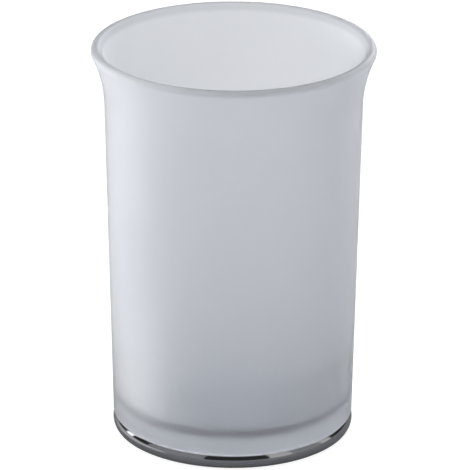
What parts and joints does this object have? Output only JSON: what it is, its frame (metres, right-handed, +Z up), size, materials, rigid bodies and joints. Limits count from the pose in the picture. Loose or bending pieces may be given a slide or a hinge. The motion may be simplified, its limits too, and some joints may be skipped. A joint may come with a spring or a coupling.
{
  "type": "tumbler holder",
  "caption": "Free-standing bathroom tumbler of satin glass with a flared lip, standing in a shallow chromed brass cup with a soft liner and an anti-slip pad.",
  "frame": {"origin": "on the axis, in the plane of the pad's underside, which stands on the table", "axes": "+Z up along the axis of the cup and the tumbler; +X and +Y are equal round the axis, and the pictured side faces -Y"},
  "size_m": [0.0766, 0.0766, 0.11],
  "materials": {
    "satin_glass": "acid-etched satin glass, softly translucent",
    "chromed_brass": "polished chrome plate on turned brass",
    "liner_silicone": "grey translucent moulded silicone",
    "pad_rubber": "matt black moulded rubber"
  },
  "bodies": {
    "base": {"chrome_cup": "chromed_brass", "seat_liner": "liner_silicone", "anti_slip_pad": "pad_rubber"},
    "glass": {"tumbler": "satin_glass"}
  },
  "joints": [
    {"name": "tumbler_lift", "type": "slide", "parent": "base", "child": "glass", "axis": [0, 0, 1], "range_m": [0, 0.05]}
  ]
}
